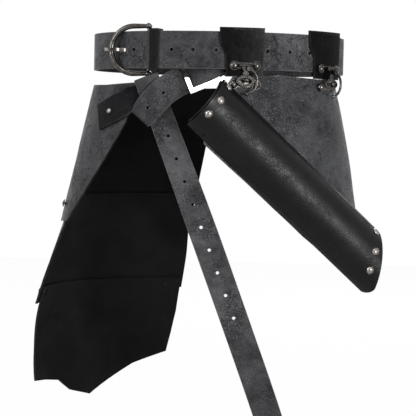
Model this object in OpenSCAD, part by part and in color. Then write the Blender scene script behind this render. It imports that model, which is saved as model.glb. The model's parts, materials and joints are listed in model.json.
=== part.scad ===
/* [Waist belt] */
// Half the inside width of the belt, side to side
waist_a = 173.5; // [150:0.5:200]
// Half the inside depth of the belt, front to back
waist_b = 116.7; // [100:0.1:140]
// Height of the belt strap
belt_h = 50; // [40:1:60]
// Thickness of the belt strap
belt_t = 3.5; // [2.5:0.1:4.5]
// Angle round the waist where the belt tail ends
tail_end_at = 72; // [66:1:80]
// Radius of the adjusting holes
belt_hole_r = 2.6; // [1.5:0.1:3.5]
// Gap between two layers of the belt
layer_gap = 0.4; // [0.3:0.05:0.6]

/* [Buckle] */
// Angle round the waist where the buckle bar sits
bar_at = -34; // [-36:1:-32]
// Radius of the buckle bar
bar_r = 2.4; // [1.5:0.1:3]
// Running gap round the bar
bar_gap = 0.3; // [0.15:0.05:0.5]
// Radius of the horseshoe, to the middle of the rod
bow_r = 32; // [30:0.5:36]
// Radius of the horseshoe rod at the bow
bow_rod_r = 3.6; // [2.5:0.1:4.5]
// Radius of the rod where it meets the end balls
leg_end_r = 2.8; // [2:0.1:3.5]
// Radius of the end balls
ball_r = 4.4; // [3.6:0.1:5]
// Distance from the bar to the middle of the bow
frame_len = 53; // [50:0.5:58]
// Height of the bow's middle over the belt's inner face
bow_lift = 15.8; // [13:0.5:18]
// Radius of the prong
prong_r = 2.1; // [1.5:0.1:2.5]

/* [Belt keeper] */
// Angle round the waist of the keeper
keeper_at = -29.3; // [-30:0.1:-27]
// Width of the keeper along the belt
keeper_w = 12.5; // [8:0.5:14]
// Thickness of the keeper leather
keeper_t = 2.2; // [1.5:0.1:3]

/* [Hangers] */
// Angles round the waist of the front and the side hanger
hanger_at = [10.8, 54]; // [0:0.1:70]
// Thickness of the hanger leather
hanger_t = 3; // [2:0.1:4]
// Gap between a hanger and the belt's outer layer
hanger_gap = 0.5; // [0.3:0.1:1]
// Height of the hanger's top over the middle of the belt
hanger_top = 30.5; // [29:0.5:34]
// Height of the hanger's bottom edge
hanger_foot = -34; // [-38:0.5:-32]

/* [Swing clasps] */
// Height of the clasp's upper plate
clasp_z = -20; // [-22:0.5:-18]
// Half the distance between the upper plate's domes
dome_half = 14.7; // [12:0.1:17]
// Radius of a clasp dome
dome_r = 5.6; // [4:0.1:6.5]
// Thickness of the clasp's plates
plate_t = 1.5; // [1:0.1:2]
// Distance from the clasp's hinge down to the post
post_drop = 20.7; // [18:0.1:24]
// Radius of the clasp's post ball
post_r = 3.1; // [2:0.1:3.3]

/* [Hip panels] */
// Thickness of the panel leather
panel_t = 3; // [2:0.1:4]
// Height of the left panel's top edge
left_top = -44; // [-50:1:-38]
// Height of the left panel's lower edge at the front tip
left_hem = -237; // [-245:1:-230]
// Clear gap between overlapping layers that move
lame_gap = 1.5; // [1.2:0.1:2]

/* [Thigh lames] */
// Height of the middle lame's hem
middle_hem = -362; // [-372:1:-350]
// Height of the lower lame's hem at its front corner
lower_hem = -480; // [-500:1:-460]
// Height of the pivots between hip panel and middle lame
upper_pivot_z = -215; // [-222:1:-212]
// Height of the pivots between middle and lower lame
lower_pivot_z = -346; // [-352:1:-342]

/* [Rolled guard] */
// Half the width of the rolled guard
guard_half = 39; // [36:0.5:42]
// Height of the guard's roll
guard_rise = 25; // [20:0.5:30]
// Length of the guard along its middle
guard_len = 330; // [300:1:340]
// Slant of the guard's lower end, length per width
guard_slant = 0.5; // [0:0.05:0.6]
// Radius of the guard's rounded corners
guard_round = 9; // [6:1:14]
// Thickness of the guard's outer leather and of its lining
guard_t = 3; // [2:0.1:3.5]

/* [Tie straps] */
// Width of both tie straps
strap_w = 38; // [30:1:42]
// Thickness of both tie straps
strap_t = 3.2; // [2:0.1:3.6]
// Radius of the holes in the long tie strap
strap_hole_r = 2.2; // [1.5:0.1:3]
// Outer length of the slide buckle
slide_l = 50; // [48:0.5:54]
// Outer height of the slide buckle
slide_h = 50; // [49:0.5:54]
// Width of the slide buckle's bars
slide_bar = 5.5; // [4:0.1:5.5]
// Thickness of the slide buckle's plate
slide_t = 3; // [2:0.1:3.5]

/* [Rivets] */
// Radius of the large rivet heads
rivet_r = 5; // [3.5:0.1:6]
// Height of the large rivet heads
rivet_h = 2.6; // [1.5:0.1:3.5]
// Radius of the rivet shanks
shank_r = 1.6; // [1:0.1:2]
// Gap round a rivet shank
shank_gap = 0.1; // [0.05:0.05:0.3]

/* [Hidden] */
$fn = 48;

leather = "#1d1d1f";
black_leather = "#141416";
inside_leather = "#0f0f10";
gunmetal = "#55504c";
bright_steel = "#e8e6e2";

fold_in = bar_r + bar_gap;
tail_off = belt_t + layer_gap;
outer_off = tail_off + belt_t;
chape_end_at = bar_at + 13;
chape_rivet_at = bar_at + 11;
prong_hole_at = bar_at - 13.4;
hole_at = [-40.1, -30.5, -21, -11.5, -1.5, 9.7, 21, 31.8, 42.7];
leg_in = outer_off + hanger_gap;
leg_out = leg_in + hanger_t;
back_leg = strap_t + 1.2;

// Points and frames round the waist
function ring(off, p) = [(waist_a + off) * sin(p), -(waist_b + off) * cos(p)];
function heading(p) = atan2(waist_b * sin(p), waist_a * cos(p));
function band(o1, o2, p1, p2, n = 30) = concat(
    [for (i = [0:n]) ring(o1, p1 + (p2 - p1) * i / n)],
    [for (i = [n:-1:0]) ring(o2, p1 + (p2 - p1) * i / n)]);
module at_waist(p, off = 0, z = 0) {
    q = ring(off, p);
    translate([q[0], q[1], z]) rotate([0, 0, heading(p)]) children();
}
// A round cutter or pin along the outward direction, from depth a out to b
module radial(r, a, b) {
    translate([0, -a, 0]) rotate([90, 0, 0]) cylinder(r = r, h = b - a);
}

// General helpers
function unit(v) = v / norm(v);
function ease(t) = let (c = min(max(t, 0), 1)) c * c * (3 - 2 * c);
function along(pts, t) = let (
    s = min(max(t, 0), 1) * (len(pts) - 1),
    i = min(floor(s), len(pts) - 2))
    pts[i] + (pts[i + 1] - pts[i]) * (s - i);

// Hip and thigh surfaces: half width and half depth at each height
function left_a(z) = waist_a - 7.5 - 0.23 * z;
function left_b(z) = waist_b + 5.3 - 0.10 * z;
function back_b(z) = waist_b + 3.3 - 0.14 * z;
function right_a(z) = waist_a - 17.5 - 0.27 * z - 0.0003 * z * z;
function right_b(z) = waist_b + 3.8 - 0.10 * z;
guard_back = -141;
guard_lean = 0.3;
seam_lap = panel_t + 0.3;

left_skin = function(p, z, d) [
    (left_a(z) - d) * sin(p),
    -((cos(p) > 0 ? left_b(z) : back_b(z)) - d) * cos(p), z];

function hip_bulge(p, z) = 9.3 * exp(-pow((p - hanger_at[1]) / 13, 2)) * exp(min(0, (z + 40) / 45));
right_skin = function(p, z, d) let (
    swell = hip_bulge(p, z) - d,
    a = right_a(z) + swell,
    b = (cos(p) > 0 ? right_b(z) : back_b(z) + seam_lap) + swell,
    x = a * sin(p),
    turn = atan(guard_lean * a / b),
    flat = guard_lean * x - sqrt(b * b + pow(guard_lean * a, 2)),
    y = p < turn ? flat : -b * cos(p),
    limit = guard_back + guard_lean * x + 1 + 1.044 * d)
    [x, p < 90 ? max(y, limit) : y, z];

lap = panel_t + lame_gap;
function middle_a(z) = z > left_hem ? left_a(z) - lap
    : left_a(left_hem) - lap + 0.335 * (left_hem - z);
function middle_b(z) = z > left_hem ? back_b(z) - lap
    : back_b(left_hem) - lap + 0.16 * (left_hem - z);
middle_skin = function(p, z, d) [(middle_a(z) - d) * sin(p), -(middle_b(z) - d) * cos(p), z];
function lower_a(z) = z > middle_hem ? middle_a(z) - lap
    : middle_a(middle_hem) - lap + 0.25 * (middle_hem - z) - 0.0012 * pow(middle_hem - z, 2);
function lower_b(z) = z > middle_hem ? middle_b(z) - lap
    : middle_b(middle_hem) - lap + 0.12 * (middle_hem - z);
lower_skin = function(p, z, d) [(lower_a(z) - d) * sin(p), -(lower_b(z) - d) * cos(p), z];

function skin_normal(f, p, z) = unit(cross(f(p + 1, z, 0) - f(p - 1, z, 0), f(p, z + 1, 0) - f(p, z - 1, 0)));
// Puts a frame on a surface: -Y points outward, Z up the surface
module on_skin(f, p, z, d = 0) {
    n = skin_normal(f, p, z);
    translate(f(p, z, d)) rotate([-asin(n[2]), 0, atan2(n[0], -n[1])]) children();
}

// A sheet between four edges given as angle and height, left edge and right edge from
// the bottom up, lower and upper edge from left to right
module sheet(f, left, right, low, high, nu, nv, t) {
    function at(u, v) = (1 - u) * along(left, v) + u * along(right, v)
        + (1 - v) * along(low, u) + v * along(high, u)
        - (1 - u) * (1 - v) * low[0] - u * (1 - v) * low[len(low) - 1]
        - (1 - u) * v * high[0] - u * v * high[len(high) - 1];
    grid = [for (j = [0:nv]) for (i = [0:nu]) at(i / nu, j / nv)];
    n = len(grid);
    pts = concat([for (q = grid) f(q[0], q[1], 0)], [for (q = grid) f(q[0], q[1], t)]);
    function id(i, j) = j * (nu + 1) + i;
    face = [for (j = [0:nv - 1]) for (i = [0:nu - 1])
        let (a = id(i, j), b = id(i + 1, j), c = id(i + 1, j + 1), d = id(i, j + 1))
        each [[a, d, c], [a, c, b], [n + a, n + c, n + d], [n + a, n + b, n + c]]];
    rim = concat(
        [for (i = [0:nu - 1]) [id(i, 0), id(i + 1, 0)]],
        [for (j = [0:nv - 1]) [id(nu, j), id(nu, j + 1)]],
        [for (i = [nu:-1:1]) [id(i, nv), id(i - 1, nv)]],
        [for (j = [nv:-1:1]) [id(0, j), id(0, j - 1)]]);
    edge = [for (e = rim) each [[e[0], e[1], n + e[1]], [e[0], n + e[1], n + e[0]]]];
    polyhedron(points = pts, faces = concat(face, edge), convexity = 8);
}

// A strap swept through stations [x, y, z, side x, side y, side z, width, thickness]
function blend(a, b, c, d, t) = 0.5 * (2 * b + (c - a) * t + (2 * a - 5 * b + 4 * c - d) * t * t
    + (3 * b - 3 * c + d - a) * t * t * t);
function eased(st, n) = [for (i = [0:len(st) - 2]) for (k = [0:n - 1])
    blend(st[max(i - 1, 0)], st[i], st[i + 1], st[min(i + 2, len(st) - 1)], k / n), st[len(st) - 1]];
function place(s) = [s[0], s[1], s[2]];
module strap(st, n) {
    s = eased(st, n);
    m = len(s);
    pts = [for (i = [0:m - 1]) let (
        along_it = unit(place(s[min(i + 1, m - 1)]) - place(s[max(i - 1, 0)])),
        raw = [s[i][3], s[i][4], s[i][5]],
        side = unit(raw - along_it * (raw * along_it)),
        up = cross(along_it, side),
        c = place(s[i]), w = s[i][6] / 2, h = s[i][7] / 2)
        each [c - side * w - up * h, c + side * w - up * h, c + side * w + up * h, c - side * w + up * h]];
    walls = [for (i = [0:m - 2]) for (k = [0:3]) let (
        a = 4 * i + k, b = 4 * i + (k + 1) % 4)
        each [[a, b + 4, b], [a, a + 4, b + 4]]];
    z = 4 * (m - 1);
    ends = [[0, 1, 2], [0, 2, 3], [z, z + 2, z + 1], [z, z + 3, z + 2]];
    polyhedron(points = pts, faces = concat(walls, ends), convexity = 8);
}

// A domed rivet: the head stands on y = 0 and faces -Y, the shank runs to depth
module rivet(depth, r = rivet_r, h = rivet_h, tail = true) {
    dome = (r * r + h * h) / (2 * h);
    rotate([90, 0, 0]) {
        intersection() {
            translate([0, 0, h - dome]) sphere(r = dome);
            cylinder(r = r, h = h);
        }
        translate([0, 0, -depth]) cylinder(r = shank_r, h = depth);
        if (tail) translate([0, 0, -depth - 1.2]) cylinder(r = r * 0.8, h = 1.2);
    }
}
module shank_hole(depth) {
    radial(shank_r + shank_gap, -depth, 3);
}

// Belt and buckle
function tail_rise(p) = tail_off * ease((p - (bar_at - 16)) / 13);
// The belt seen from above: one strip from the folded end round the bar, round the
// waist and on to the tail
module belt_plan() {
    steps = 150;
    turns = [for (i = [1:steps]) bar_at + (360 + tail_end_at - bar_at) * i / steps];
    function off(p) = p < 180 ? 0 : tail_rise(p - 360);
    dip = 2 * fold_in;
    function under(p) = -layer_gap - (dip - layer_gap) * (1 - ease((p - bar_at - 0.9) / 2));
    chape = [for (i = [26:-1:0]) bar_at + (chape_end_at - bar_at) * i / 26];
    turned = heading(bar_at);
    function arc(r) = [for (a = [90:15:270]) bar_point + r * [cos(a + turned), sin(a + turned)]];
    near = concat([for (p = chape) ring(under(p), p)], arc(fold_in), [for (p = turns) ring(off(p), p)]);
    far = concat([for (p = chape) ring(under(p) - belt_t, p)], arc(fold_in + belt_t),
        [for (p = turns) ring(off(p) + belt_t, p)]);
    polygon(concat(near, [for (i = [len(far) - 1:-1:0]) far[i]]));
}
module chape_rivet_spots() {
    for (z = [-12, 12]) at_waist(chape_rivet_at, 0, z) children();
}
module tie_root_spots() {
    for (q = [[13, 5.8], [8.6, 0]]) at_waist(q[0], 0, q[1]) children();
}
module waist_belt() {
    tip_r = belt_h / 2 + 3;
    color(leather) difference() {
        translate([0, 0, -belt_h / 2]) linear_extrude(belt_h) belt_plan();
        for (p = hole_at) at_waist(p) radial(belt_hole_r, tail_off - 0.2, outer_off + 2);
        at_waist(prong_hole_at) hull() for (x = [-6.3, 6.2]) translate([x, 0, 0])
            radial(belt_hole_r, -3, outer_off + 2);
        at_waist(bar_at, -fold_in) translate([-9, -7, -4]) cube([20, 14, 8]);
        difference() {
            translate([0, 0, -belt_h]) linear_extrude(2 * belt_h)
                polygon(band(tail_off - 0.1, outer_off + 1, tail_end_at - 9, tail_end_at + 2));
            at_waist(tail_end_at - 9) radial(tip_r, -5, 40);
        }
        chape_rivet_spots() {
            radial(shank_r + shank_gap, -12, 5);
            radial(4.2, belt_t - 1.3, belt_t + 0.2);
        }
        tie_root_spots() {
            radial(shank_r + shank_gap, -12, 3.6);
            radial(4.2, belt_t - 1.3, belt_t + 0.2);
        }
    }
}
// Flat rivets sunk into the belt's inner layer, so that the tail lies flat over them
module flat_rivet(depth) {
    radial(4, belt_t - 1.2, belt_t);
    radial(shank_r, -depth, belt_t - 1);
    radial(4, -depth - 1.2, -depth);
}
module chape_rivets() {
    color(gunmetal) chape_rivet_spots() flat_rivet(layer_gap + belt_t + 0.1);
}
module belt_keeper() {
    out_y = outer_off + 0.7;
    in_y = layer_gap + belt_t + 2.1;
    zh = belt_h / 2 + 1;
    color(black_leather) at_waist(keeper_at) difference() {
        translate([-keeper_w / 2, -out_y - keeper_t, -zh - keeper_t])
            cube([keeper_w, out_y + in_y + 2 * keeper_t, 2 * (zh + keeper_t)]);
        translate([-keeper_w, -out_y, -zh]) cube([2 * keeper_w, out_y + in_y, 2 * zh]);
    }
}
bar_point = ring(-fold_in, bar_at);
bow_point = ring(bow_lift, bar_at - 19.5);
buckle_turn = atan2(bar_point[1] - bow_point[1], bar_point[0] - bow_point[0]);
bow_x = bow_r - frame_len;
module at_bar() {
    translate([bar_point[0], bar_point[1], 0]) rotate([0, 0, buckle_turn]) children();
}
module buckle_frame() {
    color(gunmetal) at_bar() difference() {
        union() {
            translate([bow_x, 0, 0]) rotate([90, 0, 0]) rotate([0, 0, 90])
                rotate_extrude(angle = 180) translate([bow_r, 0]) circle(r = bow_rod_r);
            for (s = [-1, 1]) {
                translate([bow_x, 0, s * bow_r]) rotate([0, 90, 0])
                    cylinder(r1 = bow_rod_r, r2 = leg_end_r, h = -bow_x);
                translate([0, 0, s * bow_r]) sphere(r = ball_r);
            }
        }
        cylinder(r = bar_r + 0.03, h = 2 * bow_r + 4, center = true);
    }
}
module buckle_bar() {
    color(gunmetal) at_bar() cylinder(r = bar_r, h = 2 * bow_r + 3.8, center = true);
}
// Outline of a bar of the given width along a flat path
function bar_outline(path, w) = let (
    m = len(path) - 1,
    side = [for (i = [0:m]) let (t = unit(path[min(i + 1, m)] - path[max(i - 1, 0)])) [-t[1], t[0]] * w / 2])
    concat([for (i = [0:m]) path[i] + side[i]], [for (i = [m:-1:0]) path[i] - side[i]]);
module buckle_prong() {
    path = [[-2, 3.4], [-9, 4.8], [-18, 6], [-28, 6.2], [-33, 5], [-37, 2.2], [-41, -2.6], [-44.5, -5.9],
        [-48, -7], [-54, -6.8], [-60, -6.2]];
    color(gunmetal) at_bar() difference() {
        union() {
            cylinder(r = bar_r + 2.2, h = 2 * prong_r, center = true);
            linear_extrude(2 * prong_r, center = true) polygon(bar_outline(path, 2 * prong_r));
        }
        cylinder(r = bar_r + 0.12, h = 3 * prong_r, center = true);
    }
}

// Hangers: a closed loop of leather over the belt, its front face wider at the top left
module hanger(i) {
    outline = [[-25, hanger_foot], [24, hanger_foot], [26, hanger_top + 5], [-35, hanger_top + 5],
        [-33, 8], [-26, -6]];
    run_z = -belt_h / 2 - 1.5;
    lip_z = hanger_foot + 3;
    from = hanger_at[i] - 4.4;
    to = hanger_at[i] + 20;
    module run(low, high, off1, off2, start = from) {
        translate([0, 0, low]) linear_extrude(high - low) polygon(band(off1, off2, start, to));
    }
    color(black_leather) difference() {
        intersection() {
            union() {
                run(hanger_foot, hanger_top, leg_in, leg_out, hanger_at[i] - 22);
                run(run_z - hanger_t, hanger_top, -back_leg - hanger_t, -back_leg);
                run(hanger_top - hanger_t, hanger_top, -back_leg - hanger_t, leg_out);
                run(run_z - hanger_t, run_z, -back_leg - hanger_t, leg_in);
                run(lip_z, run_z, leg_in - hanger_t, leg_in);
            }
            at_waist(hanger_at[i], leg_out) translate([0, 40, 0]) rotate([90, 0, 0])
                linear_extrude(50) polygon(outline);
        }
        at_clasp(i) for (s = [-1, 1]) disc(s * dome_half, 0, shank_r + shank_gap, -hanger_t - 1, 2);
    }
}
module front_hanger() { hanger(0); }
module side_hanger() { hanger(1); }

// Swing clasps, one under each hanger
hinge_out = plate_t + 4.5;
eye_w = 25;
eye_h = 13.5;
module at_clasp(i) {
    at_waist(hanger_at[i], leg_out + 0.05, clasp_z) children();
}
module disc(x, z, r, a, b) {
    translate([x, 0, z]) radial(r, a, b);
}
module dome(x, z, a) {
    h = 3.4;
    c = (dome_r * dome_r + h * h) / (2 * h);
    translate([x, -a, z]) rotate([90, 0, 0]) intersection() {
        translate([0, 0, h - c]) sphere(r = c);
        cylinder(r = dome_r, h = h);
    }
}
module upper_plate(i) {
    color(gunmetal) at_clasp(i) {
        difference() {
            union() {
                for (s = [-1, 1]) {
                    disc(s * dome_half, 0, dome_r + 0.6, 0, plate_t);
                    dome(s * dome_half, 0, plate_t);
                    disc(s * dome_half, 0, shank_r, -hanger_t, plate_t);
                }
                translate([-dome_half, -plate_t, -4]) cube([2 * dome_half, plate_t, 8]);
                for (s = [-1, 1]) translate([s * 7 - 1.4, -hinge_out, -2.6]) cube([2.8, hinge_out, 5.2]);
                for (s = [-1, 1]) translate([s * 7 - 1.4, -hinge_out, 0]) rotate([0, 90, 0])
                    cylinder(r = 2.6, h = 2.8);
            }
            translate([-12, -hinge_out, 0]) rotate([0, 90, 0]) cylinder(r = 1.22, h = 24);
        }
        translate([-8.6, -hinge_out, 0]) rotate([0, 90, 0]) cylinder(r = 1.2, h = 17.2);
    }
}
function skin_at(i) = asin(ring(leg_out, hanger_at[i])[0] / (right_a(lower_z) + (i == 0 ? 0 : 9.3)));
lower_z = clasp_z - post_drop - 4.5;
// The hasp leans in from its hinge so that its eye lies just over the lower plate
hasp_lean = [1, 1];
module hasp_shape() {
    difference() {
        union() {
            translate([-5.4, -1, 0]) rotate([0, 90, 0]) cylinder(r = 2.2, h = 10.8);
            translate([0, 0, -post_drop]) rotate([90, 0, 0]) linear_extrude(2)
                resize([eye_w, eye_h]) circle(r = eye_h / 2, $fn = 40);
            rotate([90, 0, 0]) linear_extrude(2)
                polygon([[-5.4, 0], [5.4, 0], [4.2, -5], [2.6, -8], [5, -12], [8, -16], [-8, -16], [-5, -12],
                    [-2.6, -8], [-4.2, -5]]);
        }
        translate([0, 3, -post_drop]) rotate([90, 0, 0]) linear_extrude(8)
            resize([eye_w - 7.5, eye_h - 5]) circle(r = eye_h / 2, $fn = 40);
        translate([-12, -1, 0]) rotate([0, 90, 0]) cylinder(r = 1.35, h = 24);
        for (s = [-1, 1]) translate([s * 4.2, 3, -12.4]) rotate([90, 0, 0]) cylinder(r = 1.1, h = 8);
    }
}
module hasp(i) {
    color(gunmetal) at_clasp(i) translate([0, -hinge_out, 0]) rotate([hasp_lean[i], 0, 0])
        translate([0, 1, 0]) {
            hasp_shape();
            disc(arm_x, arm_z, 1.1, 1, arm_out + 1.2);
        }
}
arm_x = 3.4;
arm_z = -4.2;
arm_out = 5.6;
module swing_arm(i) {
    c = [-2, -20.5];
    start = atan2(arm_z - c[1], arm_x - c[0]);
    color(gunmetal) at_clasp(i) translate([0, -hinge_out, 0]) rotate([hasp_lean[i], 0, 0])
        translate([0, 1, 0]) difference() {
            union() {
                translate([c[0], -arm_out, c[1]]) rotate([90, 0, 0]) rotate([0, 0, -80])
                    rotate_extrude(angle = 80 + start) translate([norm([arm_x, arm_z] - c), 0])
                    circle(r = 1.7);
                translate([c[0] + norm([arm_x, arm_z] - c) * cos(-80), -arm_out,
                    c[1] + norm([arm_x, arm_z] - c) * sin(-80)])
                    rotate([90, 0, 0]) sphere(r = 2.9);
                disc(arm_x, arm_z, 2.9, arm_out - 1.7, arm_out + 1.7);
            }
            disc(arm_x, arm_z, 1.2, 0, 12);
        }
}
// How far the tails of the lower plates' rivets stand in from the panel
tail_reach = [1.4, 5];
module lower_plate(i) {
    color(gunmetal) on_skin(right_skin, skin_at(i), lower_z) translate([0, -0.3, 0]) {
        for (s = [-1, 1]) {
            disc(s * (dome_half + 1.3), 0, dome_r + 0.4, 0, plate_t);
            dome(s * (dome_half + 1.3), 0, plate_t);
            disc(s * (dome_half + 1.3), 0, shank_r, -panel_t - tail_reach[i], plate_t);
            disc(s * (dome_half + 1.3), 0, 3.5, -panel_t - tail_reach[i] - 1, -panel_t - tail_reach[i]);
        }
        translate([-dome_half, -plate_t, -3.5]) cube([2 * dome_half, plate_t, 8]);
        disc(0, 4.5, 1.9, 0, 9.5);
        translate([0, -9.5, 4.5]) sphere(r = post_r);
        disc(0, 4.5, 4.5, 0, plate_t);
    }
}
module lower_plate_holes(i) {
    on_skin(right_skin, skin_at(i), lower_z) for (s = [-1, 1])
        translate([s * (dome_half + 1.3), 0, 0]) rotate([90, 0, 0])
            cylinder(r = shank_r + shank_gap, h = 20, center = true);
}
module front_upper_plate() { upper_plate(0); }
module side_upper_plate() { upper_plate(1); }
module front_hasp() { hasp(0); }
module side_hasp() { hasp(1); }
module front_swing_arm() { swing_arm(0); }
module side_swing_arm() { swing_arm(1); }
module front_lower_plate() { lower_plate(0); }
module side_lower_plate() { lower_plate(1); }

// Hip panels
seam_spots = [[184.5, -62], [183, -90], [181.6, -116]];
module seam_places() {
    for (q = seam_spots) on_skin(right_skin, q[0], q[1]) children();
}
module back_seam_rivets() {
    color(gunmetal) seam_places() rivet(2 * panel_t + 0.5, 3.6, 1.8);
}
module right_hip_panel() {
    color(leather) difference() {
        sheet(right_skin,
            [[-5.6, -125], [-7, -94], [0, -62], [6.3, -35]],
            [[188, -127], [189.5, -85], [191, -44]],
            [[-5.6, -125], [11.9, -176], [23.6, -212], [35.9, -248], [48.6, -278], [63, -285], [90, -285],
                [110, -262], [130, -226], [150, -188], [170, -146], [188, -127]],
            [[6.3, -35], [20, -34], [30, -31], [40, -33], [50, -34.5], [66, -33], [90, -29],
                [110, -30], [130, -34], [150, -38], [170, -42], [191, -44]],
            66, 13, panel_t);
        lower_plate_holes(0);
        lower_plate_holes(1);
        seam_places() shank_hole(12);
    }
}
tab_spot = [-52, -83.5];
module left_hip_panel() {
    color(leather) difference() {
        sheet(left_skin,
            [[-170, -252], [-173, -180], [-175.5, -127], [-181, left_top]],
            [[-71, left_hem], [-62, -204], [-52, -157], [-42, -100], [-39, -70], [-39, left_top]],
            [[-170, -252], [-145, -250], [-108, -244], [-71, left_hem]],
            [[-181, left_top], [-130, left_top], [-90, left_top - 2], [-60, left_top - 3], [-39, left_top]],
            48, 13, panel_t);
        on_skin(left_skin, tab_spot[0], tab_spot[1]) shank_hole(12);
        seam_places() shank_hole(16);
        for (p = middle_pivots) on_skin(middle_skin, p, upper_pivot_z) radial(shank_r + swing_gap, -2, 14);
    }
}

// Thigh lames and their loose pivot rivets
middle_pivots = [-81, -165];
lower_pivots = [-97, -162];
module middle_lame() {
    color(inside_leather) difference() {
        sheet(middle_skin,
            [[-168.5, -352], [-169.5, -300], [-169.5, -260], [-170, upper_pivot_z + 11]],
            [[-92, middle_hem], [-85, -300], [-78, -240], [-76, upper_pivot_z + 11]],
            [[-168.5, -352], [-140, -358], [-115, middle_hem], [-92, middle_hem]],
            [[-170, upper_pivot_z + 11], [-76, upper_pivot_z + 11]],
            32, 10, panel_t);
        for (p = middle_pivots) on_skin(middle_skin, p, upper_pivot_z) shank_hole(12);
        for (p = lower_pivots) on_skin(lower_skin, p, lower_pivot_z) radial(shank_r + swing_gap, -2, 14);
    }
}
module lower_lame() {
    color(inside_leather) difference() {
        sheet(lower_skin,
            [[-164, -454], [-165.5, -425], [-167, -389], [-168, lower_pivot_z + 10]],
            [[-101, lower_hem], [-99, -430], [-95, -380], [-92, lower_pivot_z + 10]],
            [[-164, -454], [-158, -463], [-152, -472], [-145, -489], [-134, -516], [-125, -506],
                [-119, -488], [-110, -483], [-101, lower_hem]],
            [[-168, lower_pivot_z + 10], [-92, lower_pivot_z + 10]],
            32, 12, panel_t);
        for (p = lower_pivots) on_skin(lower_skin, p, lower_pivot_z) shank_hole(12);
    }
}
// Gap round a loose rivet and play under its head
swing_gap = 0.9;
rivet_play = 2.3;
module loose_rivet(f, p, z) {
    stand = lame_gap + panel_t;
    on_skin(f, p, z) translate([0, -stand - rivet_play, 0])
        rivet(stand + rivet_play + panel_t + 0.4, 4.6, 2.2);
}
module middle_lame_rivets() {
    color(gunmetal) for (p = middle_pivots) loose_rivet(middle_skin, p, upper_pivot_z);
}
module lower_lame_rivets() {
    color(gunmetal) for (p = lower_pivots) loose_rivet(lower_skin, p, lower_pivot_z);
}

// Rolled guard: x runs down its length, z across it, and -Y is its raised side
guard_point = [-18.6, -146.6, -67.8];
guard_turn = atan(guard_lean);
guard_tilt = 41.5;
module at_guard() {
    translate(guard_point) rotate([0, 0, guard_turn]) rotate([0, guard_tilt, 0]) children();
}
guard_big_r = (guard_half * guard_half + guard_rise * guard_rise) / (2 * guard_rise);
module guard_outline(grow, top_more = 0) {
    low = guard_half - grow;
    round_r = guard_round;
    hull() {
        translate([-top_more, low - 3]) square([1, 3]);
        translate([4 - top_more, -low]) square([1, 3]);
        translate([guard_len - guard_slant * low - round_r, low - round_r]) circle(r = round_r, $fn = 40);
        translate([guard_len + guard_slant * low - round_r - grow, -low + round_r])
            circle(r = round_r, $fn = 40);
    }
}
module roll(inset, t, grow, top_more) {
    c = guard_rise - guard_big_r;
    intersection() {
        translate([-20, -c, 0]) rotate([0, 90, 0]) difference() {
            cylinder(r = guard_big_r - inset, h = guard_len + 60, $fn = 96);
            translate([0, 0, -1]) cylinder(r = guard_big_r - inset - t, h = guard_len + 62, $fn = 96);
        }
        rotate([90, 0, 0]) linear_extrude(guard_rise + 5) guard_outline(grow, top_more);
    }
}
module guard_rivet_places(ends) {
    for (e = ends) for (k = [-1:1]) {
        y = 10.5 + 24 * k;
        x = e == 0 ? 11.5 : guard_len - guard_slant * y - 13.5;
        lift = asin(y / guard_big_r);
        translate([x, guard_big_r - guard_rise, 0]) rotate([-lift, 0, 0]) translate([0, -guard_big_r, 0])
            children();
    }
}
module guard_shell() {
    color(black_leather) at_guard() difference() {
        roll(0, guard_t, 0, 0);
        guard_rivet_places([0, 1]) shank_hole(guard_t * 2 + 3);
        corner_place() shank_hole(12);
    }
}
module guard_lining() {
    color(inside_leather) at_guard() difference() {
        roll(guard_t + 0.2, guard_t * 0.6, 5, 2.5);
        guard_rivet_places([0, 1]) shank_hole(guard_t * 2 + 3);
        corner_place() shank_hole(12);
    }
}
module guard_top_rivets() {
    color(gunmetal) at_guard() guard_rivet_places([0]) rivet(guard_t * 1.6 + 0.6);
}
module guard_bottom_rivets() {
    color(gunmetal) at_guard() guard_rivet_places([1]) rivet(guard_t * 1.6 + 0.6);
}
module corner_place() {
    translate([28, guard_big_r - guard_rise, 0]) rotate([54, 0, 0])
        translate([0, -guard_big_r, 0]) children();
}
module guard_corner_rivet() {
    color(gunmetal) at_guard() corner_place() rivet(guard_t * 1.6 + 0.6, 2.6, 1.4, false);
}

// Tie straps
function on_belt(off, p, z) = let (q = ring(off, p)) [q[0], q[1], z];
root_off = -0.65 - strap_t / 2;
// A strap station against the belt's inner face
function belt_station(p, z, w) = let (h = heading(p))
    [each on_belt(root_off, p, z), -0.42 * cos(h), -0.42 * sin(h), 0.91, w, strap_t];
// A strap station over the left panel's outer face
function panel_station(p, z, w) = let (
    n = skin_normal(left_skin, p, z),
    v = [-0.44, 0, 0.9],
    raw = v - n * (v * n))
    [each left_skin(p, z, -0.9 - strap_t / 2), raw[0], raw[1], raw[2], w, strap_t];
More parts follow.
